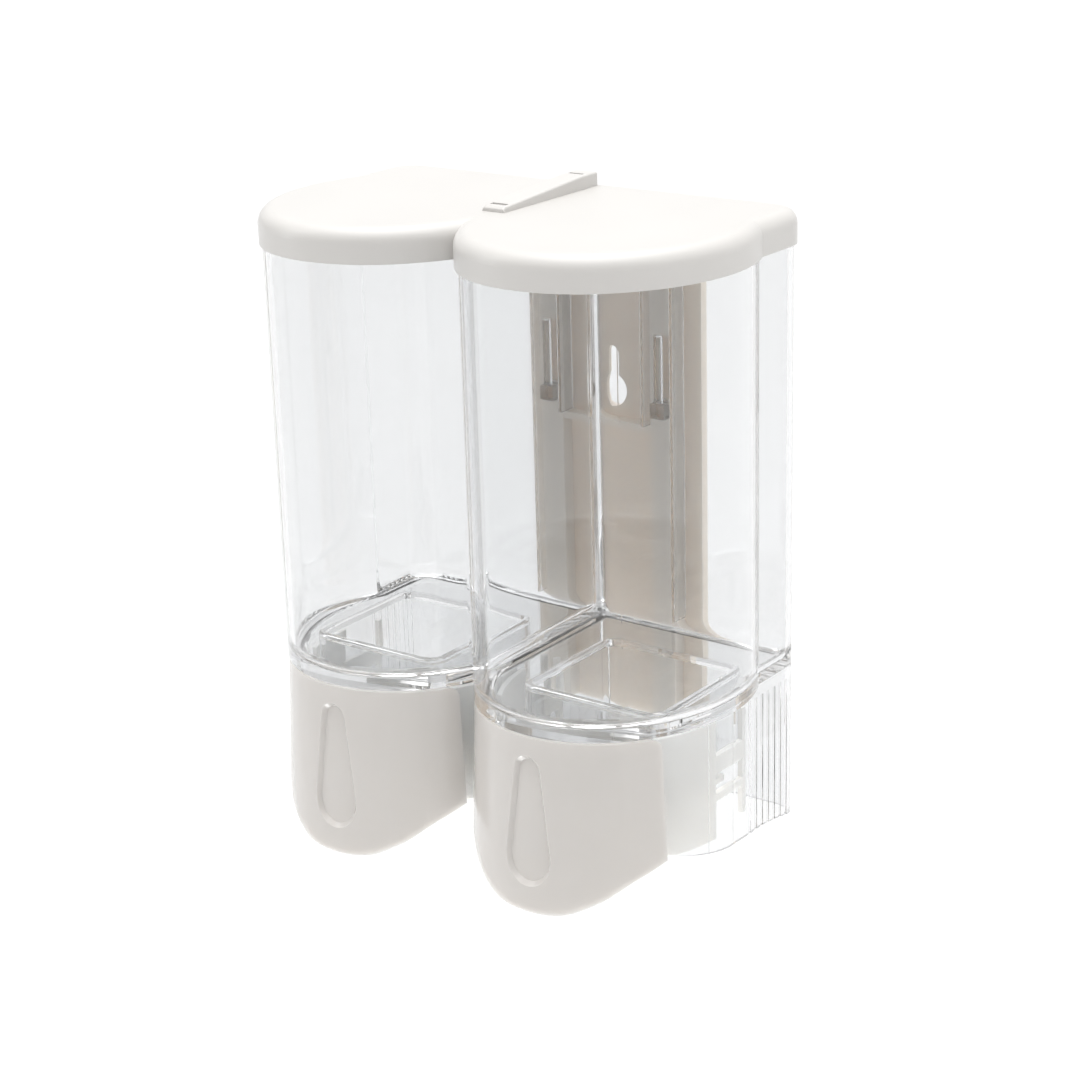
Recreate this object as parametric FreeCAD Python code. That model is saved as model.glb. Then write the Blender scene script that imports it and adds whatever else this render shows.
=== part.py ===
import FreeCAD, Part
import math, os
from FreeCAD import Vector as V

# Wall-mounted twin soap dispenser.
# Units mm, +Z up, +X to the right seen from the front, +Y back into the wall.
# Everything below is built in a construction frame: x = 0 on the middle plane,
# y = 0 on the tank's rear wall, z = 0 on the tank's top rim.  It is then moved
# so that the row's origin lies on the wall plane behind the hanging plate.

os.makedirs("parts", exist_ok=True)

# ---------------------------------------------------------------- dimensions
WALL_Y = 11.0            # wall plane behind the tank's rear wall
ORIGIN_Z = -70.0         # height of the row's origin below the tank's rim
PITCH = 75.0             # distance between the two lobes' centres
XC = PITCH / 2.0
YC = -48.0               # lobe centre, measured from the tank's rear wall
EA, EB = 43.45, 48.9     # lobe half-width and half-depth at the lid
BLOCK_W = 76.8           # half-width of the straight rear block
BLOCK_F = -34.0          # where the rear block starts, inside the lobes
R_REAR = 10.5            # rear corner radius in plan
LID_H = 10.6             # lid's side height with its rounded edge
LID_R = 4.6              # rounded top edge of the lid
OVER = 0.8               # lid overhang past the tank
WALL = 2.2               # clear wall thickness
TANK_Z = -133.6          # underside of the tank's floor
DRAFT = 1.2              # how much the outline shrinks from rim to floor
FLOOR_T = 2.4
SUMP = dict(x=41.75, u=23.75, y0=-69.0, y1=-22.5, z=-156.0, wall=2.0, r=4.0)
SKIRT_IN = 4.8           # skirt set-in from the lid outline, on the lobes
SKIRT_T = 2.0
LEVER_T = 2.2
LEVER_TOP = -134.3
LEVER_FLARE = 2.4        # how much the lever widens from its top to its bottom
PIVOT_Y, PIVOT_Z = -76.5, -141.5
PIVOT_R = 2.0
PIVOT_CLEAR = 0.06
PUMP_Y, PUMP_Z = -52.0, -170.0    # vertical valve axis, horizontal bore axis
BORE_R = 6.5
PLATE_W, PLATE_TOP, PLATE_BOT, PLATE_T = 35.0, -6.0, -168.0, 3.6
RAIL_X0, RAIL_X1 = 18.5, 27.5
PARTITION = 3.4          # wall between the chambers
COLLAR_H = 5.0           # tank's collar, which stands inside the lid
LID_WALL = 1.75
EAR_X0, EAR_X1 = 21.1, 23.7       # the lever's bearings, off the lobe's centre
RIB_X0, RIB_X1 = 24.1, 26.1       # the lever's hinge ribs, outside the bearings
GUIDES = ((16.8, 18.1), (27.9, 29.2))     # tank's guide ribs, either side of a rail


def shift(s):
    s = s.copy()
    s.translate(V(0, -WALL_Y, -ORIGIN_Z))
    return s


def save(shape, name):
    shape = shift(shape)
    if not shape.isValid():
        print("NOT VALID", name)
    n = len(shape.Solids)
    bb = shape.BoundBox
    print("%-22s solids %d vol %.0f  x %.1f..%.1f y %.1f..%.1f z %.1f..%.1f" % (
        name, n, shape.Volume, bb.XMin, bb.XMax, bb.YMin, bb.YMax, bb.ZMin, bb.ZMax))
    shape.exportStep("parts/%s.step" % name)


def clean(s):
    """Merge split faces where that works, else keep the shape as it is."""
    try:
        c = s.removeSplitter()
        if c.isValid() and abs(c.Volume - s.Volume) < 1e-3 * abs(s.Volume) + 0.01:
            return c
    except Exception:
        pass
    return s


def box(x0, x1, y0, y1, z0, z1):
    return Part.makeBox(x1 - x0, y1 - y0, z1 - z0, V(x0, y0, z0))


def rbox(x0, x1, y0, y1, z0, z1, r, axis="Z"):
    b = box(x0, x1, y0, y1, z0, z1)
    ed = []
    for e in b.Edges:
        d = e.Vertexes[1].Point - e.Vertexes[0].Point
        c = {"X": abs(d.x), "Y": abs(d.y), "Z": abs(d.z)}
        if c[axis] > 0.99 * d.Length:
            ed.append(e)
    return b.makeFillet(r, ed)


def cyl(r, p, d, h):
    return Part.makeCylinder(r, h, V(*p), V(*d))


def tube(ro, ri, p, d, h):
    a = cyl(ro, p, d, h)
    dv = V(*d)
    dv.normalize()
    q = V(*p) - dv * 0.5
    return a.cut(Part.makeCylinder(ri, h + 1.0, q, V(*d)))


# The lobe outline is built from arcs that meet tangentially: a nose arc of
# radius RN over +-45 degrees and two flatter flank arcs of radius RF.
_D = (EB - EA) / (math.sqrt(2) - 1)
S45 = math.sqrt(0.5)
RF = EA + S45 * _D
RN = RF - _D
YN = YC - S45 * _D                # nose arc's centre
XF = S45 * _D                     # flank arcs' centres, off the lobe's centre


def half_points(i, x_in=0.0):
    """Right-hand outline set in by i, from its front inner end to the crease."""
    rn, rf = RN - i, RF - i
    w = BLOCK_W - i
    cin = XC + XF                                    # inner flank's centre
    a0 = math.asin((cin - x_in) / rf)
    p0 = (x_in, YC - rf * math.cos(a0))
    am = (a0 + math.radians(45)) / 2
    p1 = (cin - rf * math.sin(am), YC - rf * math.cos(am))
    p2 = (XC - rn * S45, YN - rn * S45)
    p3 = (XC, YN - rn)
    p4 = (XC + rn * S45, YN - rn * S45)
    cout = XC - XF
    a1 = math.asin((w - cout) / rf)                  # past the widest point
    a_end = math.pi - a1
    am = (math.radians(45) + a_end) / 2
    p5 = (cout + rf * math.sin(am), YC - rf * math.cos(am))
    p6 = (w, YC - rf * math.cos(a_end))
    return [p0, p1, p2, p3, p4, p5, p6]


def mirror(p):
    return [(-x, y) for x, y in p]


def twin_face(i, z, block=None, front=None):
    """Face of the whole twin outline set in by i (the block by its own amount)."""
    p = half_points(i)
    q = mirror(p)
    bi = i if block is None else block
    w, rear, r = BLOCK_W - bi, -bi, max(R_REAR - bi, 2.0)
    if block is not None:
        rf = RF - i
        p[6] = (w, YC + math.sqrt(max(rf * rf - (w - (XC - XF)) ** 2, 0)))
        a_end = math.pi - math.asin((w - (XC - XF)) / rf)
        am = (math.radians(45) + a_end) / 2
        p[5] = (XC - XF + rf * math.sin(am), YC - rf * math.cos(am))
        q = mirror(p)
    k = r * (1 - S45)

    def v(t):
        return V(t[0], t[1], z)

    e = [Part.Arc(v(p[0]), v(p[1]), v(p[2])).toShape(), Part.Arc(v(p[2]), v(p[3]), v(p[4])).toShape(),
         Part.Arc(v(p[4]), v(p[5]), v(p[6])).toShape(), Part.makeLine(v(p[6]), V(w, rear - r, z)),
         Part.Arc(V(w, rear - r, z), V(w - k, rear - k, z), V(w - r, rear, z)).toShape(),
         Part.makeLine(V(w - r, rear, z), V(-w + r, rear, z)),
         Part.Arc(V(-w + r, rear, z), V(-w + k, rear - k, z), V(-w, rear - r, z)).toShape(),
         Part.makeLine(V(-w, rear - r, z), v(q[6])), Part.Arc(v(q[6]), v(q[5]), v(q[4])).toShape(),
         Part.Arc(v(q[4]), v(q[3]), v(q[2])).toShape(), Part.Arc(v(q[2]), v(q[1]), v(q[0])).toShape()]
    return Part.Face(Part.Wire(e))


def twin(i, z0, z1, block=None):
    return twin_face(i, z0, block).extrude(V(0, 0, z1 - z0))


def oval(side, i, z0, z1):
    """One lobe closed on itself at the rear, set in by i."""
    rn, rf, x = RN - i, RF - i, side * XC
    j = rn * S45
    ys = S45 * _D

    def v(dx, dy):
        return V(x + dx, YC + dy, z0)

    e = [Part.Arc(v(-j, -ys - j), v(0, -ys - rn), v(j, -ys - j)).toShape(),
         Part.Arc(v(j, -ys - j), v(rf - XF, 0), v(j, ys + j)).toShape(),
         Part.Arc(v(j, ys + j), v(0, ys + rn), v(-j, ys + j)).toShape(),
         Part.Arc(v(-j, ys + j), v(XF - rf, 0), v(-j, -ys - j)).toShape()]
    return Part.Face(Part.Wire(e)).extrude(V(0, 0, z1 - z0))


def half_face(side, i, z, x_in, r_rear=None):
    """Face of one chamber's outline, closed along x = x_in."""
    p = half_points(i, x_in)
    w, rear = BLOCK_W - i, -i
    r = max(R_REAR - i, 2.0) if r_rear is None else r_rear
    k = r * (1 - S45)

    def v(x, y=None):
        if y is None:
            x, y = x
        return V(side * x, y, z)

    e = [Part.Arc(v(p[0]), v(p[1]), v(p[2])).toShape(), Part.Arc(v(p[2]), v(p[3]), v(p[4])).toShape(),
         Part.Arc(v(p[4]), v(p[5]), v(p[6])).toShape(), Part.makeLine(v(p[6]), v(w, rear - r)),
         Part.Arc(v(w, rear - r), v(w - k, rear - k), v(w - r, rear)).toShape(),
         Part.makeLine(v(w - r, rear), v(x_in, rear)), Part.makeLine(v(x_in, rear), v(p[0]))]
    return Part.Face(Part.Wire(e))


def half(side, i, z0, z1, x_in, r_rear=None):
    return half_face(side, i, z0, x_in, r_rear).extrude(V(0, 0, z1 - z0))


def soften(s, test, r):
    """Round the upright edges of a solid that the test picks."""
    ed = []
    for e in s.Edges:
        a, b = e.Vertexes[0].Point, e.Vertexes[-1].Point
        if abs(a.z - b.z) > 0.9 * s.BoundBox.ZLength and test((a + b) * 0.5):
            ed.append(e)
    if not ed:
        print("soften: no edge")
        return s
    try:
        f = s.makeFillet(r, ed)
        if f.isValid() and f.Volume > 0:
            return f
    except Exception as ex:
        print("soften failed", ex)
    return s


# ------------------------------------------------------------------ the tank
TI = OVER + 0.2                    # tank's outline, set in from the lid's
CI = TI + WALL                     # chambers' outline
FLOOR_TOP = TANK_Z + FLOOR_T
tank = twin(TI, TANK_Z, 0.0).fuse(twin(2.0, -1.0, COLLAR_H))


def chamber(sd, i, z0, z1, x_in, rv, rr):
    s = half(sd, i, z0, z1, x_in)
    s = soften(s, lambda p: abs(abs(p.x) - x_in) < 0.1 and p.y < -40, rv)
    return soften(s, lambda p: abs(abs(p.x) - x_in) < 0.1 and p.y > -20, rr)


def dished(sd, r):
    """One chamber's space, its floor rounded up into the walls."""
    c = chamber(sd, CI, FLOOR_TOP, COLLAR_H + 1.0, PARTITION / 2, 9.0, 4.5)
    low = [e for e in c.Edges if e.BoundBox.ZMax < FLOOR_TOP + 1e-3]
    try:
        f = c.makeFillet(r, low)
        if f.isValid() and 0 < f.Volume < c.Volume:
            return f
    except Exception as ex:
        print("floor fillet", r, ex)
    return None


for sd in (-1, 1):
    space = None
    for r in (4.5, 3.8, 3.0, 2.4):
        space = dished(sd, r)
        if space is not None:
            print("floor radius", r)
            break
    tank = tank.cut(space)

# sumps under the chambers, with a low raised border round each mouth
for sd in (-1, 1):
    S = SUMP
    x = sd * S["x"]
    rim = rbox(x - S["u"] - 1.9, x + S["u"] + 1.9, S["y0"] - 1.9, S["y1"] + 1.9,
               FLOOR_TOP - 1.0, FLOOR_TOP + 1.0, S["r"] + 1.9)
    crown = [e for e in rim.Edges if e.BoundBox.ZMin > FLOOR_TOP + 0.99]
    rim = rim.makeFillet(0.8, crown)
    outer = rbox(x - S["u"] - S["wall"], x + S["u"] + S["wall"], S["y0"] - S["wall"],
                 S["y1"] + S["wall"], S["z"] - S["wall"], FLOOR_TOP - 0.5, S["r"] + 2.0)
    inner = rbox(x - S["u"], x + S["u"], S["y0"], S["y1"], S["z"], FLOOR_TOP + 3, S["r"])
    neck = cyl(6.15, (sd * XC, PUMP_Y, S["z"] - 5), (0, 0, 1), 12)
    tank = tank.fuse(rim).fuse(outer).cut(inner).cut(neck)

# open skirt under the floor, behind the levers
skirt_bot = [(-76.0, -172.4), (-72.0, -173.6), (-67.8, -175.3), (-61.0, -177.3), (-54.0, -178.9), (-46.0, -180.4),
             (-40.0, -181.0), (-33.0, -181.3), (-26.0, -181.3), (-19.0, -182.0), (-12.0, -183.1),
             (-6.0, -184.2), (1.0, -184.9)]


def side_profile(pts, ztop, x0, x1):
    """Solid under ztop whose lower edge is a smooth curve through pts (y, z)."""
    c = Part.BSplineCurve()
    c.interpolate([V(x0, y, z) for y, z in pts])
    first, last = V(x0, pts[0][0], pts[0][1]), V(x0, pts[-1][0], pts[-1][1])
    t0, t1 = V(x0, pts[0][0], ztop), V(x0, pts[-1][0], ztop)
    w = Part.Wire([c.toShape(), Part.makeLine(last, t1), Part.makeLine(t1, t0), Part.makeLine(t0, first)])
    return Part.Face(w).extrude(V(x1 - x0, 0, 0))


def skirt_solid(i, bi, front, z0, z1):
    w, r = BLOCK_W - bi, R_REAR - bi
    blk = soften(box(-w, w, front, -bi, z0, z1), lambda p: p.y > -10, r)
    return oval(-1, i, z0, z1).fuse([oval(1, i, z0, z1), blk])


sk_out = skirt_solid(SKIRT_IN, TI + 0.2, -56.0, -190.0, TANK_Z + 0.4)
sk_out = sk_out.common(box(-100, 100, -110, -(TI + 0.2), -195, -100))
sk_in = skirt_solid(SKIRT_IN + SKIRT_T, TI + 0.2 + SKIRT_T, -54.0, -191.0, TANK_Z + 0.5)
sk_in = sk_in.common(box(-100, 100, -110, -(TI + 0.2 + SKIRT_T), -195, -100))
skirt = sk_out.cut(sk_in).fuse(box(-1.1, 1.1, -64.0, -2.5, -190.0, TANK_Z + 0.4))
skirt = skirt.common(side_profile(skirt_bot, TANK_Z + 0.4, -90, 90))
# fine upright flutes on the sides of the rear block's skirt
for sd in (-1, 1):
    for k in range(7):
        y = -33.0 + k * 3.6
        skirt = skirt.cut(box(sd * (BLOCK_W - TI - 0.2) - 0.35, sd * (BLOCK_W - TI - 0.2) + 0.35,
                              y, y + 1.3, -190.0, -137.0))
tank = tank.fuse(skirt)
# guide ribs on the rear wall, one each side of both rails; the inner ones end
# above the plate's cross rib, so that the tank can be lifted off
for sd in (-1, 1):
    for (ga, gb), spans in zip(GUIDES, (((-66.0, -8.0),), ((-131.0, -8.0),))):
        xa, xb = sorted((sd * ga, sd * gb))
        for za, zb in spans:
            tank = tank.fuse(rbox(xa, xb, -2.4, 6.2, za, zb, 0.4, "Z"))
# hooks that drop behind the plate's rails
for sd in (-1, 1):
    xa, xb = sd * 23.0 - 2.7, sd * 23.0 + 2.7
    stem = box(xa, xb, -2.2, 6.6, -62.7, -58.0)
    tongue = box(xa, xb, 4.5, 6.6, -72.6, -58.0)
    web = box(sd * 23.0 - 0.9, sd * 23.0 + 0.9, -2.2, 1.4, -62.7, -36.0)
    tank = tank.fuse(stem.fuse([tongue, web]))
tank = clean(tank)
save(tank, "tank")


# ------------------------------------------------------------------- the lid
lid = twin(0.0, 0.02, LID_H)
top = [e for e in lid.Edges if e.BoundBox.ZMin > LID_H - 1e-4]
lid = lid.makeFillet(LID_R, top)
print("lid cap valid", lid.isValid(), lid.Volume)
lid = lid.cut(twin(LID_WALL, -1.0, LID_H - 1.9))
# raised rib on top with its two release slots
rib_pts = [V(-4.0, -54.0, LID_H - 0.6), V(-4.0, -5.5, LID_H - 0.6), V(-4.0, -5.5, LID_H + 4.4),
           V(-4.0, -14.0, LID_H + 4.3), V(-4.0, -53.0, LID_H + 1.7), V(-4.0, -54.0, LID_H + 1.0)]
rib = Part.Face(Part.makePolygon(rib_pts + [rib_pts[0]])).extrude(V(8.0, 0, 0))
redges = []
for e in rib.Edges:
    a, b = e.Vertexes[0].Point, e.Vertexes[1].Point
    if min(a.z, b.z) > LID_H + 0.9:
        redges.append(e)
try:
    rib2 = rib.makeFillet(0.7, redges)
    if rib2.isValid():
        rib = rib2
except Exception as ex:
    print("rib fillet", ex)
lid = lid.fuse(rib)
lid = lid.cut(box(-2.9, 2.9, -51.6, -50.0, LID_H + 0.2, LID_H + 5))
lid = lid.cut(box(-2.6, 2.6, -11.6, -10.4, LID_H + 2.4, LID_H + 6))
lid = clean(lid)
save(lid, "lid")

# ------------------------------------------------------------ hanging plate
PF = WALL_Y - PLATE_T            # front face of the plate
plate = rbox(-PLATE_W, PLATE_W, PF, WALL_Y, PLATE_BOT, PLATE_TOP, 3.0, "Y")
for sd in (-1, 1):
    x0, x1 = (RAIL_X0, RAIL_X1) if sd > 0 else (-RAIL_X1, -RAIL_X0)
    rail = box(x0, x1, 2.2, PF + 0.5, PLATE_BOT + 0.8, PLATE_TOP - 0.8)
    cav = box(x0 + 1.2, x1 - 1.2, 4.0, PF, PLATE_BOT + 2.6, PLATE_TOP - 2.6)
    win = box(x0 + 1.2, x1 - 1.2, 0.0, 4.5, -63.0, -36.0)
    plate = plate.fuse(rail).cut(cav).cut(win)
# deep cross rib between the rails
plate = plate.fuse(box(-RAIL_X0 - 0.5, RAIL_X0 + 0.5, 2.6, PF + 0.5, -68.8, -66.6))
# keyhole: round mouth below, slot above
KEY_Z, KEY_R, KEY_S, KEY_TOP = -58.0, 5.6, 2.6, -43.4
kj = math.sqrt(KEY_R ** 2 - KEY_S ** 2)
kc = KEY_TOP - KEY_S
ky = PF - 3.0
key = Part.Face(Part.Wire([
    Part.Arc(V(-KEY_S, ky, KEY_Z + kj), V(0, ky, KEY_Z - KEY_R), V(KEY_S, ky, KEY_Z + kj)).toShape(),
    Part.makeLine(V(KEY_S, ky, KEY_Z + kj), V(KEY_S, ky, kc)),
    Part.Arc(V(KEY_S, ky, kc), V(0, ky, KEY_TOP), V(-KEY_S, ky, kc)).toShape(),
    Part.makeLine(V(-KEY_S, ky, kc), V(-KEY_S, ky, KEY_Z + kj))])).extrude(V(0, 10, 0))
plate = plate.cut(key)
plate = clean(plate)
save(plate, "back_plate")

# -------------------------------------------------------------- push levers
LEV_BOT = [(-104.0, -190.6), (-98.6, -190.4), (-97.5, -190.0), (-96.2, -189.2), (-94.2, -187.2),
           (-90.6, -183.8), (-85.8, -179.3), (-79.8, -175.4), (-76.0, -173.2), (-72.0, -171.4)]


def flared(x, inset, thick, z0, z1):
    """Shell that follows the lobe, widening downwards: three revolved sectors."""
    f0 = 0.0
    f1 = LEVER_FLARE * (LEVER_TOP - z1) / (LEVER_TOP + 190.0)
    fu = LEVER_FLARE * (LEVER_TOP - z0) / (LEVER_TOP + 190.0)
    out = []
    # (centre x, centre y, radius, first angle, sweep) with angles from -Y towards +X
    secs = [(0.0, YN, RN, -45.0, 90.0), (-XF, YC, RF, 45.0, 24.0), (XF, YC, RF, -69.0, 24.0)]
    for cx, cy, r, a0, sw in secs:
        ro0, ro1 = r - inset + fu, r - inset + f1
        prof = [V(0, -ro0, z0), V(0, -ro1, z1), V(0, -ro1 + thick, z1), V(0, -ro0 + thick, z0)]
        f = Part.Face(Part.makePolygon(prof + [prof[0]]))
        f.rotate(V(0, 0, 0), V(0, 0, 1), a0)
        s = f.revolve(V(0, 0, 0), V(0, 0, 1), sw)
        s.translate(V(x + cx, cy, 0))
        out.append(s)
    return clean(out[0].fuse(out[1:]))


def lever(sd):
    x = sd * XC
    shell = flared(x, DRAFT, LEVER_T, LEVER_TOP + 1.0, -192.0)
    # side view: flat top, rounded top rear corner, rear edge, S-curved bottom
    X0 = x - 60
    c = Part.BSplineCurve()
    c.interpolate([V(X0, y, z) for y, z in LEV_BOT])
    pe, pb = V(X0, LEV_BOT[0][0], LEV_BOT[0][1]), V(X0, LEV_BOT[-1][0], LEV_BOT[-1][1])
    top0 = V(X0, -104.0, LEVER_TOP)
    under = Part.Face(Part.Wire([c.toShape(), Part.makeLine(pb, V(X0, -72.0, LEVER_TOP)),
                                 Part.makeLine(V(X0, -72.0, LEVER_TOP), top0), Part.makeLine(top0, pe)])).extrude(V(120, 0, 0))
    k = 3.2
    yt, yb = -75.4, -76.0
    arc = Part.Arc(V(X0, yt - k, LEVER_TOP), V(X0, yt - k * (1 - S45), LEVER_TOP - k * (1 - S45)),
                   V(X0, yt, LEVER_TOP - k)).toShape()
    w = Part.Wire([Part.makeLine(V(X0, -110, LEVER_TOP), V(X0, yt - k, LEVER_TOP)), arc,
                   Part.makeLine(V(X0, yt, LEVER_TOP - k), V(X0, yb, -195)),
                   Part.makeLine(V(X0, yb, -195), V(X0, -110, -195)),
                   Part.makeLine(V(X0, -110, -195), V(X0, -110, LEVER_TOP))])
    front = Part.Face(w).extrude(V(120, 0, 0))
    shell = shell.common(under).common(front)
    # finger recess: a tall teardrop sunk into the front face, with a sloping rim
    zt, zb = -140.2, -182.0
    r0, r1 = 5.0, 9.0
    c0, c1 = zt - r0, zb + r1
    d = c0 - c1
    sn = (r1 - r0) / d
    cs = math.sqrt(1 - sn * sn)
    lean = math.degrees(math.atan(LEVER_FLARE / (LEVER_TOP + 190.0)))
    face_y = YN - RN + DRAFT - LEVER_FLARE * (LEVER_TOP + 161.0) / (LEVER_TOP + 190.0)

    def tear(grow, y0):
        ra, rb = r0 + grow, r1 + grow
        P = [V(x + ra * cs, y0, c0 + ra * sn), V(x, y0, c0 + ra), V(x - ra * cs, y0, c0 + ra * sn),
             V(x - rb * cs, y0, c1 + rb * sn), V(x, y0, c1 - rb), V(x + rb * cs, y0, c1 + rb * sn)]
        return Part.Wire([Part.Arc(P[0], P[1], P[2]).toShape(), Part.makeLine(P[2], P[3]),
                          Part.Arc(P[3], P[4], P[5]).toShape(), Part.makeLine(P[5], P[0])])

    # backing behind the recess, then the recess with a floor parallel to the face
    pad = flared(x, DRAFT + 1.0, 2.5, LEVER_TOP - 0.5, -191.0)
    pad = pad.common(Part.Face(tear(1.6, -104)).extrude(V(0, 14, 0))).common(under)
    shell = shell.fuse(pad)
    dish = flared(x, DRAFT - 6.0, 7.4, LEVER_TOP - 0.5, -192.0)
    cone = Part.makeLoft([tear(3.2, face_y - 3.2), tear(-2.4, face_y + 2.4)], True, True)
    cone.rotate(V(x, face_y, -161.0), V(1, 0, 0), -lean)
    whole = shell.Volume
    shell = shell.cut(dish.common(cone))
    print("finger recess takes %.0f mm3" % (whole - shell.Volume))
    if whole - shell.Volume < 400:
        raise RuntimeError("the finger recess is missing")
    # pusher boss that bears on the plunger's head
    boss = cyl(3.2, (x, -95.6, PUMP_Z), (0, 1, 0), 1.9)
    shell = shell.fuse(boss)
    # two hinge ribs with inward studs
    inside = flared(x, DRAFT + 1.0, 16.0, LEVER_TOP - 0.2, -160.0)
    for k in (-1, 1):
        ra, rb = sorted((x + k * RIB_X0, x + k * RIB_X1))
        rib = box(ra, rb, -84.5, PIVOT_Y, PIVOT_Z - 4, PIVOT_Z + 4).fuse(
            cyl(4.0, (ra, PIVOT_Y, PIVOT_Z), (1, 0, 0), 2.0))
        rib = rib.common(inside)
        stud = cyl(PIVOT_R, (x + k * (RIB_X0 + 0.4), PIVOT_Y, PIVOT_Z), (-k, 0, 0), 3.7)
        shell = shell.fuse(rib).fuse(stud)
    return clean(shell)


for sd, nm in ((-1, "left"), (1, "right")):
    save(lever(sd), "lever_" + nm)


# ---------------------------------------------------- pump parts, each side
def bracket(sd):
    """Frame under the sump: carries the pump and the lever's two bearings."""
    x = sd * XC
    top = SUMP["z"] - SUMP["wall"] - 0.05
    s = box(x - 26.1, x + 26.1, PIVOT_Y - 3.8, -41.0, top - 2.0, top)
    s = s.fuse(box(x - 34.0, x + 34.0, -58.0, -42.0, top - 2.0, top))
    # curved cheeks that follow the inside of the skirt, from the lever's edge back
    ring = oval(sd, 7.4, -176.0, -137.0).cut(oval(sd, 9.2, -177.0, -136.0))
    cheeks = ring.common(box(x - 60, x + 60, -71.5, -50.0, -176.0, -137.0))
    s = s.fuse(cheeks)
    for k in (-1, 1):
        # two straps and a rear post behind each cheek
        a, b = sorted((x + k * 33.4, x + k * 35.2))
        s = s.fuse(box(a, b, -52.0, -32.0, -155.5, -149.5)).fuse(box(a, b, -52.0, -32.0, -164.5, -162.0))
        s = s.fuse(box(a, b, -34.0, -32.0, -174.0, -139.0))
        s = s.fuse(box(*sorted((x + k * 30.0, x + k * 35.2)), -56.0, -50.0, top - 2.0, top))
        a, b = sorted((x + k * EAR_X0, x + k * EAR_X1))
        e = 3.8
        y0, y1, zb = PIVOT_Y - e, PIVOT_Y + e, top - 1.0
        ear = Part.Face(Part.Wire([
            Part.makeLine(V(a, y0, zb), V(a, y0, PIVOT_Z)),
            Part.Arc(V(a, y0, PIVOT_Z), V(a, PIVOT_Y, PIVOT_Z + e), V(a, y1, PIVOT_Z)).toShape(),
            Part.makeLine(V(a, y1, PIVOT_Z), V(a, y1 + 1.0, zb)),
            Part.makeLine(V(a, y1 + 1.0, zb), V(a, y0, zb))])).extrude(V(2.6, 0, 0))
        ear = ear.cut(cyl(PIVOT_R + PIVOT_CLEAR, (a - 1, PIVOT_Y, PIVOT_Z), (1, 0, 0), 5))
        s = s.fuse(ear)
    s = s.cut(cyl(6.15, (x, PUMP_Y, -170), (0, 0, 1), 20))
    return clean(s)


def pump_body(sd):
    x = sd * XC
    top = SUMP["z"] - SUMP["wall"] - 0.05 - 2.0 - 0.05
    s = cyl(10.0, (x, PUMP_Y, top - 2.0), (0, 0, 1), 2.0)                  # flange
    s = s.fuse(cyl(5.95, (x, PUMP_Y, top - 3.0), (0, 0, 1), -149.0 - (top - 3.0)))      # neck
    s = s.fuse(cyl(8.0, (x, PUMP_Y, -178.0), (0, 0, 1), top - 1.0 + 178.0))  # valve tower
    s = s.fuse(cyl(8.0, (x, -80.0, PUMP_Z), (0, 1, 0), 34.0))                # cylinder
    s = s.fuse(cyl(5.0, (x, PUMP_Y, -181.0), (0, 0, 1), 4.0))                # outlet spigot
    s = s.cut(cyl(BORE_R, (x, -81.0, PUMP_Z), (0, 1, 0), 33.0))              # bore
    s = s.cut(cyl(3.6, (x, PUMP_Y, -161.0), (0, 0, 1), 15.0))                # inlet
    s = s.cut(cyl(0.95, (x, PUMP_Y, -166.0), (0, 0, 1), 8.0))
    for k in range(4):
        a = math.radians(45 + 90 * k)
        s = s.cut(cyl(0.75, (x + 2.1 * math.cos(a), PUMP_Y + 2.1 * math.sin(a), -166.0), (0, 0, 1), 8.0))
    s = s.cut(cyl(2.5, (x, PUMP_Y, -182.0), (0, 0, 1), 8.0))                 # outlet
    return clean(s)


def seal_ring(sd):
    return tube(9.0, 6.05, (sd * XC, PUMP_Y, SUMP["z"] + 0.02), (0, 0, 1), 1.2)


def nut(sd):
    x = sd * XC
    z0 = SUMP["z"] + 1.26
    r = 9.2
    pts = [V(x + r * math.cos(math.radians(60 * k)), PUMP_Y + r * math.sin(math.radians(60 * k)), z0) for k in range(7)]
    h = Part.Face(Part.makePolygon(pts)).extrude(V(0, 0, 4.2))
    h = h.common(Part.makeCone(8.6, 11.0, 3.0, V(x, PUMP_Y, z0)).fuse(
        Part.makeCone(11.0, 8.6, 1.2, V(x, PUMP_Y, z0 + 3.0))))
    return h.cut(cyl(6.0, (x, PUMP_Y, z0 - 1), (0, 0, 1), 7))


def inlet_valve(sd):
    x = sd * XC
    s = cyl(3.3, (x, PUMP_Y, -165.5), (0, 0, 1), 0.8)
    s = s.fuse(cyl(0.85, (x, PUMP_Y, -165.0), (0, 0, 1), 4.9))
    s = s.fuse(Part.makeCone(1.5, 0.6, 1.4, V(x, PUMP_Y, -160.92)))
    return s


def outlet_valve(sd):
    x = sd * XC
    s = cyl(4.8, (x, PUMP_Y, -182.25), (0, 0, 1), 1.15)
    w = Part.makeLoft([Part.Wire([Part.makeCircle(1.95, V(x, PUMP_Y, -182.1))]),
                       Part.Wire([Part.Ellipse(V(x + 1.95, PUMP_Y, -185.6), V(x, PUMP_Y + 0.35, -185.6), V(x, PUMP_Y, -185.6)).toShape()])],
                      True, True)
    s = s.fuse(w)
    return s.cut(Part.makeCone(0.35, 1.3, 3.2, V(x, PUMP_Y, -184.2)))


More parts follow.
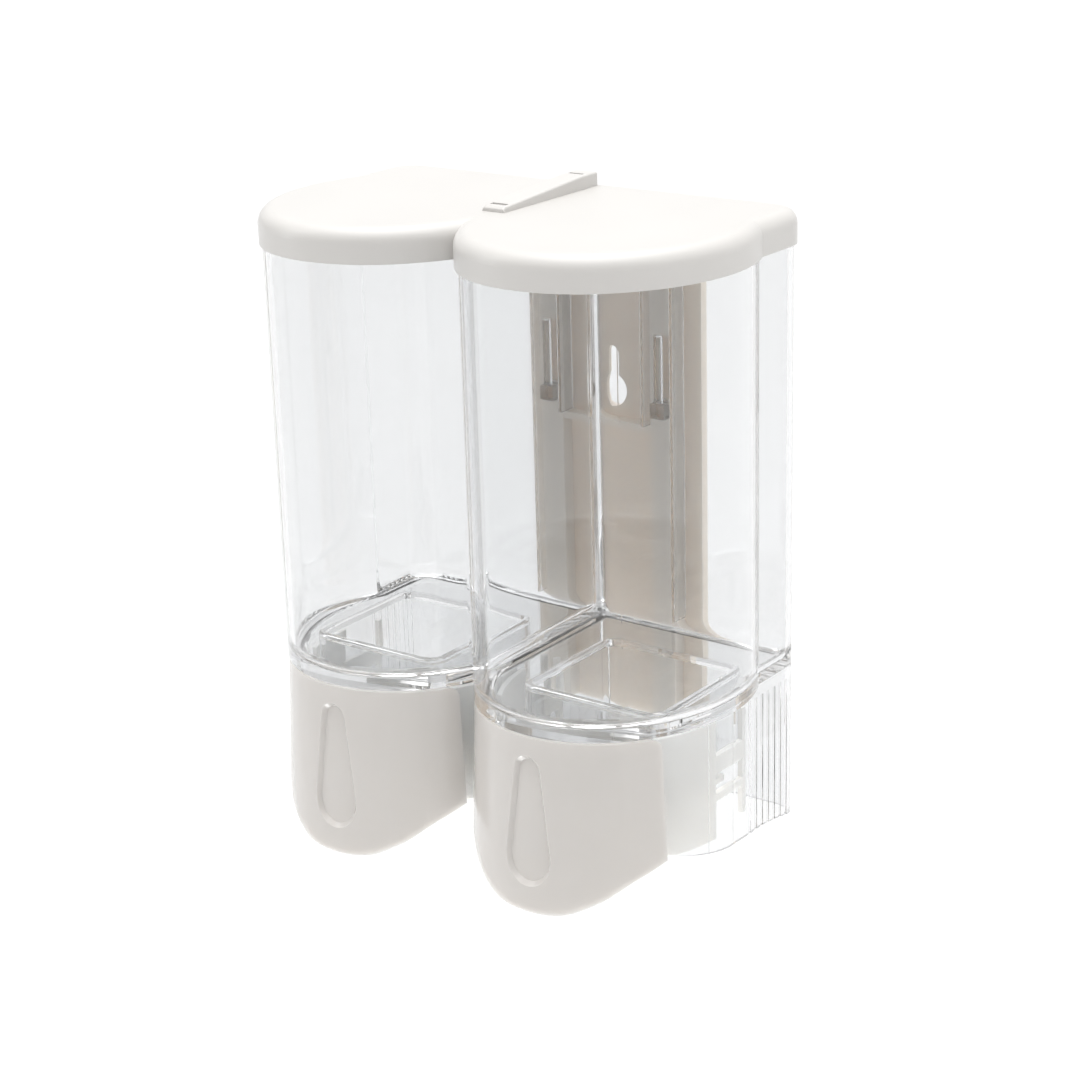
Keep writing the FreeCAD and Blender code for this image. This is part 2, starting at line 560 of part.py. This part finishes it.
def nozzle(sd):
    x = sd * XC
    s = cyl(6.6, (x, PUMP_Y, -183.6), (0, 0, 1), 5.2)
    s = s.fuse(Part.makeCone(3.2, 5.4, 3.9, V(x, PUMP_Y, -187.4)))
    s = s.cut(cyl(5.05, (x, PUMP_Y, -182.3), (0, 0, 1), 10)).cut(cyl(2.4, (x, PUMP_Y, -190), (0, 0, 1), 10))
    ring = [e for e in s.Edges if abs(e.BoundBox.ZMin + 178.4) < 0.01 and abs(e.BoundBox.ZMax + 178.4) < 0.01
            and e.BoundBox.XLength > 12.5]
    try:
        t = s.makeFillet(0.6, ring)
        if t.isValid():
            s = t
    except Exception:
        pass
    return s


def cap_ring(sd):
    x = sd * XC
    s = cyl(8.0, (x, -82.0, PUMP_Z), (0, 1, 0), 1.95)
    s = s.fuse(cyl(BORE_R - 0.06, (x, -80.5, PUMP_Z), (0, 1, 0), 4.5))
    return s.cut(cyl(2.66, (x, -84, PUMP_Z), (0, 1, 0), 12))


def plunger(sd):
    x = sd * XC
    s = cyl(6.2, (x, -71.0, PUMP_Z), (0, 1, 0), 5.4)
    s = s.cut(tube(7.0, 4.7, (x, -69.4, PUMP_Z), (0, 1, 0), 2.3))
    s = s.fuse(cyl(2.6, (x, -92.0, PUMP_Z), (0, 1, 0), 22.0))
    head = cyl(5.6, (x, -93.3, PUMP_Z), (0, 1, 0), 2.2).common(
        Part.makeSphere(9.0, V(x, -84.3, PUMP_Z)))
    return clean(s.fuse(head))


def plunger_seal(sd):
    x = sd * XC
    t = Part.makeTorus(5.58, 0.86, V(x, -68.25, PUMP_Z), V(0, 1, 0))
    return t


def spring(sd):
    """Return coil between the pump's cap and the plunger's head."""
    x = sd * XC
    y0, y1 = -90.55, -82.5
    turns = 4.5
    wire = 0.4
    R = 4.4
    h = Part.makeHelix((y1 - y0) / turns, y1 - y0, R)
    sec = Part.Wire([Part.makeCircle(wire, V(R, 0, 0), V(0, 1, 0))])
    p = Part.Wire(h.Edges).makePipeShell([sec], True, True)
    m = FreeCAD.Placement(V(x, y0, PUMP_Z), FreeCAD.Rotation(V(1, 0, 0), -90))
    p.Placement = m
    return p


for sd, nm in ((-1, "left"), (1, "right")):
    save(bracket(sd), "pump_bracket_" + nm)
    save(pump_body(sd), "pump_body_" + nm)
    save(seal_ring(sd), "tank_seal_" + nm)
    save(nut(sd), "pump_nut_" + nm)
    save(inlet_valve(sd), "inlet_valve_" + nm)
    save(outlet_valve(sd), "outlet_valve_" + nm)
    save(nozzle(sd), "nozzle_" + nm)
    save(cap_ring(sd), "pump_cap_" + nm)
    save(plunger(sd), "plunger_" + nm)
    save(plunger_seal(sd), "plunger_seal_" + nm)
    save(spring(sd), "return_spring_" + nm)
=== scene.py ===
import math

import bmesh
import bpy
from mathutils import Matrix, Vector


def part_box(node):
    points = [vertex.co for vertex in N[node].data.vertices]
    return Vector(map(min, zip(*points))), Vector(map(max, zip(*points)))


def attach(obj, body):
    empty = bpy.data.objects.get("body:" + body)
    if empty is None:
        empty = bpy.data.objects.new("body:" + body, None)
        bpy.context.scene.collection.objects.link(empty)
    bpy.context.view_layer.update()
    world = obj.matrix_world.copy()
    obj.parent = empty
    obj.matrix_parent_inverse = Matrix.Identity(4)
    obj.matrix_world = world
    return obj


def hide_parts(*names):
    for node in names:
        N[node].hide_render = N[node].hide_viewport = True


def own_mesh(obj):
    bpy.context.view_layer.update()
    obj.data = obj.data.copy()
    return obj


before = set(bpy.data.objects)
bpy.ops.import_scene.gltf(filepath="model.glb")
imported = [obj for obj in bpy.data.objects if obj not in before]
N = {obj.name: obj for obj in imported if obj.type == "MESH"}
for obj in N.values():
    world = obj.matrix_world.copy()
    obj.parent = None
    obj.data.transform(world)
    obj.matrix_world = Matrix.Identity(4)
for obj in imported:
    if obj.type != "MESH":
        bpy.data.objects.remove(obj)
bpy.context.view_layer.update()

SIDES = ("left", "right")


# ------------------------------------------------------------------ node help
class Mat:
    """A small helper that builds one procedural material."""

    def __init__(self, name):
        self.m = bpy.data.materials.new(name)
        self.m.use_nodes = True
        self.t = self.m.node_tree
        self.t.nodes.clear()
        self.out = self.t.nodes.new("ShaderNodeOutputMaterial")
        self.co = self.t.nodes.new("ShaderNodeTexCoord")

    def add(self, kind, **props):
        n = self.t.nodes.new(kind)
        for k, v in props.items():
            setattr(n, k, v)
        return n

    def link(self, a, b):
        self.t.links.new(a, b)

    def scaled(self, scale):
        n = self.add("ShaderNodeMapping")
        n.inputs["Scale"].default_value = scale
        self.link(self.co.outputs["Object"], n.inputs["Vector"])
        return n.outputs["Vector"]

    def noise(self, scale, detail=3.0, rough=0.5, vector=None, distort=0.0):
        n = self.add("ShaderNodeTexNoise")
        n.inputs["Scale"].default_value = scale
        n.inputs["Detail"].default_value = detail
        n.inputs["Roughness"].default_value = rough
        n.inputs["Distortion"].default_value = distort
        self.link(vector if vector is not None else self.co.outputs["Object"], n.inputs["Vector"])
        return n.outputs["Fac"]

    def ramp(self, fac, stops):
        n = self.add("ShaderNodeValToRGB")
        while len(n.color_ramp.elements) < len(stops):
            n.color_ramp.elements.new(0.5)
        for e, (p, c) in zip(n.color_ramp.elements, stops):
            e.position = p
            e.color = c if len(c) == 4 else (*c, 1.0)
        self.link(fac, n.inputs["Fac"])
        return n.outputs["Color"]

    def span(self, fac, lo, hi, a=0.3, b=0.7):
        n = self.add("ShaderNodeMapRange")
        n.inputs["From Min"].default_value = a
        n.inputs["From Max"].default_value = b
        n.inputs["To Min"].default_value = lo
        n.inputs["To Max"].default_value = hi
        self.link(fac, n.inputs["Value"])
        return n.outputs["Result"]

    def math(self, op, a, b):
        n = self.add("ShaderNodeMath", operation=op)
        for i, v in enumerate((a, b)):
            if isinstance(v, (int, float)):
                n.inputs[i].default_value = v
            else:
                self.link(v, n.inputs[i])
        return n.outputs[0]

    def bump(self, height, strength, distance, normal=None):
        n = self.add("ShaderNodeBump")
        n.inputs["Strength"].default_value = strength
        n.inputs["Distance"].default_value = distance
        self.link(height, n.inputs["Height"])
        if normal is not None:
            self.link(normal, n.inputs["Normal"])
        return n.outputs["Normal"]

    def principled(self, **values):
        n = self.add("ShaderNodeBsdfPrincipled")
        for k, v in values.items():
            s = n.inputs[k]
            if hasattr(v, "is_linked") or hasattr(v, "links"):
                self.link(v, s)
            else:
                s.default_value = v
        return n


def moulded(name, dark, light, rough, coat=0.0, peel=0.35, scuffs=0.03, ior=1.5, glow=0.0):
    """Opaque injection-moulded plastic: faint colour drift, orange peel, uneven gloss."""
    m = Mat(name)
    drift = m.noise(28.0, 3.0, 0.55)
    col = m.ramp(drift, [(0.3, dark), (0.72, light)])
    fine = m.noise(1500.0, 4.0, 0.6)
    scuff = m.noise(70.0, 5.0, 0.65)
    r = m.math("ADD", m.span(drift, rough[0], rough[1]), m.span(scuff, 0.0, scuffs, 0.45, 0.8))
    big = m.bump(m.noise(170.0, 2.0, 0.4), peel, 0.00003)
    nrm = m.bump(fine, 0.08, 0.00002, big)
    p = m.principled(**{"Base Color": col, "Roughness": r, "Normal": nrm, "IOR": ior})
    if glow:                              # thin white walls let some light through
        p.inputs["Subsurface Weight"].default_value = glow
        p.inputs["Subsurface Radius"].default_value = (1.0, 0.96, 0.90)
        p.inputs["Subsurface Scale"].default_value = 0.004
    if coat:
        p.inputs["Coat Weight"].default_value = coat
        p.inputs["Coat Roughness"].default_value = 0.08
    m.link(p.outputs[0], m.out.inputs["Surface"])
    return m.m


def clear(name):
    """Clear moulded plastic: polished, with faint flow waves and hairline scuffs."""
    m = Mat(name)
    flow = m.noise(16.0, 2.0, 0.5, vector=m.scaled((1.0, 1.0, 0.3)))
    col = m.ramp(flow, [(0.25, (0.884, 0.889, 0.894)), (0.75, (0.896, 0.901, 0.906))])
    hair = m.noise(420.0, 5.0, 0.75, vector=m.scaled((1.0, 1.0, 0.05)))
    r = m.span(hair, 0.0, 0.045, 0.45, 0.85)
    nrm = m.bump(flow, 0.08, 0.0005)
    p = m.principled(**{"Base Color": col, "Roughness": r, "Normal": nrm, "IOR": 1.49,
                        "Transmission Weight": 1.0})
    t = m.add("ShaderNodeBsdfTransparent")
    t.inputs["Color"].default_value = (0.95, 0.955, 0.96, 1.0)
    lp = m.add("ShaderNodeLightPath")
    mix = m.add("ShaderNodeMixShader")
    m.link(lp.outputs["Is Shadow Ray"], mix.inputs[0])
    m.link(p.outputs[0], mix.inputs[1])
    m.link(t.outputs[0], mix.inputs[2])
    m.link(mix.outputs[0], m.out.inputs["Surface"])
    return m.m


def silicone(name):
    m = Mat(name)
    n = m.noise(220.0, 4.0, 0.6)
    col = m.ramp(n, [(0.3, (0.70, 0.70, 0.67)), (0.7, (0.82, 0.82, 0.79))])
    p = m.principled(**{"Base Color": col, "Roughness": m.span(n, 0.42, 0.58),
                        "Normal": m.bump(m.noise(2400.0, 3.0), 0.3, 0.00002), "IOR": 1.41,
                        "Subsurface Weight": 0.25, "Subsurface Scale": 0.002})
    m.link(p.outputs[0], m.out.inputs["Surface"])
    return m.m


def rubber(name):
    m = Mat(name)
    n = m.noise(900.0, 5.0, 0.6)
    col = m.ramp(n, [(0.3, (0.018, 0.018, 0.018)), (0.75, (0.045, 0.044, 0.043))])
    p = m.principled(**{"Base Color": col, "Roughness": m.span(n, 0.5, 0.68),
                        "Normal": m.bump(n, 0.3, 0.00002), "IOR": 1.52})
    m.link(p.outputs[0], m.out.inputs["Surface"])
    return m.m


def wire_steel(name):
    m = Mat(name)
    n = m.noise(2600.0, 4.0, 0.6)
    col = m.ramp(n, [(0.3, (0.46, 0.46, 0.47)), (0.7, (0.66, 0.66, 0.67))])
    p = m.principled(**{"Base Color": col, "Roughness": m.span(n, 0.22, 0.36), "Metallic": 1.0,
                        "Normal": m.bump(n, 0.2, 0.00001)})
    m.link(p.outputs[0], m.out.inputs["Surface"])
    return m.m


M = {
    "clear": clear("clear_plastic"),
    "lid": moulded("lid_white_plastic", (0.578, 0.563, 0.543), (0.590, 0.576, 0.556), (0.29, 0.32), peel=0.12, scuffs=0.015),
    "lever": moulded("lever_white_plastic", (0.575, 0.552, 0.527), (0.590, 0.567, 0.543), (0.16, 0.20), coat=0.35, peel=0.25, glow=0.35),
    "plate": moulded("plate_grey_plastic", (0.835, 0.750, 0.655), (0.855, 0.772, 0.678), (0.40, 0.48), peel=0.3, glow=0.55),
    "pump": moulded("pump_white_plastic", (0.86, 0.84, 0.80), (0.90, 0.885, 0.85), (0.36, 0.46), peel=0.4, glow=0.4),
    "silicone": silicone("silicone_rubber"),
    "rubber": rubber("black_rubber"),
    "steel": wire_steel("spring_wire"),
}


def paint(node, mat):
    o = N[node]
    o.data.materials.clear()
    o.data.materials.append(M[mat])


paint("tank", "clear")
paint("lid", "lid")
paint("back_plate", "plate")
for s in SIDES:
    paint("lever_" + s, "lever")
    for n in ("pump_bracket_", "pump_body_", "pump_nut_", "nozzle_", "pump_cap_", "plunger_"):
        paint(n + s, "pump")
    for n in ("tank_seal_", "inlet_valve_", "outlet_valve_"):
        paint(n + s, "silicone")
    paint("plunger_seal_" + s, "rubber")


def round_edges(node, width, segments=2, angle=38.0):
    """A small moulded radius on the sharp edges of a node, as a modifier."""
    o = N[node]
    w = o.modifiers.new("weld", "WELD")
    w.merge_threshold = 0.000002
    b = o.modifiers.new("radius", "BEVEL")
    b.width = width
    b.segments = segments
    b.limit_method = "ANGLE"
    b.angle_limit = math.radians(angle)
    b.use_clamp_overlap = True
    b.harden_normals = False


for s in SIDES:
    round_edges("lever_" + s, 0.0008, 3, 30.0)
    round_edges("pump_bracket_" + s, 0.00025, 2, 50.0)
round_edges("back_plate", 0.00035, 2, 50.0)

# ------------------------------------------------------------ return springs
def coil(name, centre, y0, y1, radius, wire, turns):
    """Compression spring along Y with closed ends, as one closed tube mesh."""
    per, ring = 40, 12
    pts = []
    dead = 0.85
    total = turns + 2 * dead
    n = int(total * per)
    length = y1 - y0 - 2 * wire
    for k in range(n + 1):
        a = k / per
        if a < dead:
            f = 0.5 * wire * 2 * (a / dead)
        elif a > total - dead:
            f = length - 0.5 * wire * 2 * ((total - a) / dead)
        else:
            f = wire + (length - 2 * wire) * (a - dead) / turns
        th = 2 * math.pi * a
        pts.append(Vector((centre[0] + radius * math.cos(th), y0 + wire + f,
                           centre[2] + radius * math.sin(th))))
    bm = bmesh.new()
    rings = []
    for k, p in enumerate(pts):
        t = (pts[min(k + 1, n)] - pts[max(k - 1, 0)]).normalized()
        out = Vector((p.x - centre[0], 0, p.z - centre[2])).normalized()
        out = (out - t * out.dot(t)).normalized()
        side = t.cross(out)
        rings.append([bm.verts.new(p + wire * (math.cos(2 * math.pi * j / ring) * out +
                                               math.sin(2 * math.pi * j / ring) * side))
                      for j in range(ring)])
    for a, b in zip(rings, rings[1:]):
        for j in range(ring):
            bm.faces.new((a[j], a[(j + 1) % ring], b[(j + 1) % ring], b[j]))
    bm.faces.new(list(reversed(rings[0])))
    bm.faces.new(rings[-1])
    bmesh.ops.recalc_face_normals(bm, faces=bm.faces)
    me = bpy.data.meshes.new(name)
    bm.to_mesh(me)
    bm.free()
    for p in me.polygons:
        p.use_smooth = len(p.vertices) == 4
    o = bpy.data.objects.new(name, me)
    bpy.context.scene.collection.objects.link(o)
    me.materials.append(M["steel"])
    return o


for s in SIDES:
    lo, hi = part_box("return_spring_" + s)
    c = (lo + hi) / 2
    wire = 0.0004
    sp = coil("coil_" + s, c, lo.y, hi.y, (hi.x - lo.x) / 2 - wire, wire, 3.6)
    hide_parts("return_spring_" + s)
    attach(sp, "reservoir")
    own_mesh(sp)

# ----------------------------------------------------------------- the stage
sc = bpy.context.scene
sc.view_settings.view_transform = "Standard"
sc.view_settings.look = "None"
sc.cycles.max_bounces = 64            # two chambers' worth of thick clear walls
sc.cycles.transmission_bounces = 48
sc.cycles.glossy_bounces = 48         # light is guided inside the thick clear floors
sc.cycles.diffuse_bounces = 5
sc.cycles.transparent_max_bounces = 40

me = bpy.data.meshes.new("floor")
S, Z = 12.0, -0.60
me.from_pydata([(-S, -S, Z), (S, -S, Z), (S, S, Z), (-S, S, Z)], [], [(0, 1, 2, 3)])
floor = bpy.data.objects.new("floor", me)
sc.collection.objects.link(floor)
fm = Mat("floor_pale")
fn = fm.noise(3.0, 2.0)
fp = fm.principled(**{"Base Color": fm.ramp(fn, [(0.3, (0.635, 0.635, 0.635)), (0.7, (0.65, 0.65, 0.65))]),
                      "Roughness": 0.9})
fm.link(fp.outputs[0], fm.out.inputs["Surface"])
me.materials.append(fm.m)

w = bpy.data.worlds.new("studio")
sc.world = w
w.use_nodes = True
t = w.node_tree
t.nodes.clear()
wo = t.nodes.new("ShaderNodeOutputWorld")
bg = t.nodes.new("ShaderNodeBackground")
tc = t.nodes.new("ShaderNodeTexCoord")
sx = t.nodes.new("ShaderNodeSeparateXYZ")
cr = t.nodes.new("ShaderNodeValToRGB")
mr = t.nodes.new("ShaderNodeMapRange")
mr.inputs["From Min"].default_value = -1.0
t.links.new(tc.outputs["Generated"], sx.inputs[0])
t.links.new(sx.outputs["Z"], mr.inputs["Value"])
t.links.new(mr.outputs["Result"], cr.inputs["Fac"])
HORIZON = 0.42
el = cr.color_ramp.elements
el[0].position, el[0].color = 0.0, (0.032, 0.032, 0.032, 1)
el[1].position, el[1].color = 1.0, (1.0, 1.0, 1.0, 1)
for z in (0.0, 0.4, 0.6, 0.75, 0.85, 0.93):
    v = (HORIZON + 4.3 * z ** 6) / (HORIZON + 4.3)
    e = el.new((z + 1) / 2)
    e.color = (v, v, v, 1)
# a pale backdrop behind the dispenser and a softer one on its right
def glow(axis, lo, hi, amount):
    g = t.nodes.new("ShaderNodeMapRange")
    g.interpolation_type = "SMOOTHSTEP"
    g.inputs["From Min"].default_value = lo
    g.inputs["From Max"].default_value = hi
    g.inputs["To Max"].default_value = amount / (HORIZON + 4.3)
    t.links.new(sx.outputs[axis], g.inputs["Value"])
    return g.outputs["Result"]


def plus(a, b):
    n = t.nodes.new("ShaderNodeMath")
    n.operation = "ADD"
    t.links.new(a, n.inputs[0])
    t.links.new(b, n.inputs[1])
    return n.outputs[0]


level = plus(cr.outputs["Color"], plus(glow("Y", 0.0, 0.8, 0.35), glow("X", 0.1, 0.9, 0.15)))
bg.inputs["Strength"].default_value = HORIZON + 4.3
t.links.new(level, bg.inputs["Color"])
t.links.new(bg.outputs[0], wo.inputs["Surface"])


def area(name, pos, target, size, energy, colour=(1, 1, 1)):
    d = bpy.data.lights.new(name, "AREA")
    d.shape = "RECTANGLE"
    d.size, d.size_y = size
    d.energy = energy
    d.color = colour
    o = bpy.data.objects.new(name, d)
    o.location = pos
    o.rotation_euler = (Vector(target) - Vector(pos)).to_track_quat("-Z", "Y").to_euler()
    sc.collection.objects.link(o)


AIM = (0.0, -0.05, -0.02)
area("top", (0.15, -0.25, 1.35), AIM, (1.4, 1.4), 3.0)
area("left_strip", (-1.15, -0.75, 0.45), AIM, (0.45, 1.3), 3.0)
area("right_fill", (1.25, -0.15, 0.35), AIM, (0.6, 1.2), 0.5)
area("below", (0.0, -0.06, -0.52), (0.0, -0.05, 0.0), (0.34, 0.30), 1.6)

# ---------------------------------------------------------------- the camera
a, e, r = math.radians(36.46), math.radians(18.86), math.radians(-1.64)
fwd = Vector((-math.sin(a) * math.cos(e), math.cos(a) * math.cos(e), -math.sin(e)))
right = Vector((math.cos(a), math.sin(a), 0))
up = right.cross(fwd)
r2 = math.cos(r) * right + math.sin(r) * up
u2 = -math.sin(r) * right + math.cos(r) * up
C = Vector((0.44030, -0.64295, 0.22626))
cam = bpy.data.cameras.new("camera")
cam.sensor_width = 36.0
cam.sensor_fit = "HORIZONTAL"
cam.lens = 2481.83 / 1077 * 36.0
cam.clip_start, cam.clip_end = 0.01, 60.0
co = bpy.data.objects.new("camera", cam)
co.matrix_world = Matrix(((r2.x, u2.x, -fwd.x, C.x), (r2.y, u2.y, -fwd.y, C.y),
                          (r2.z, u2.z, -fwd.z, C.z), (0, 0, 0, 1)))
sc.collection.objects.link(co)
sc.camera = co
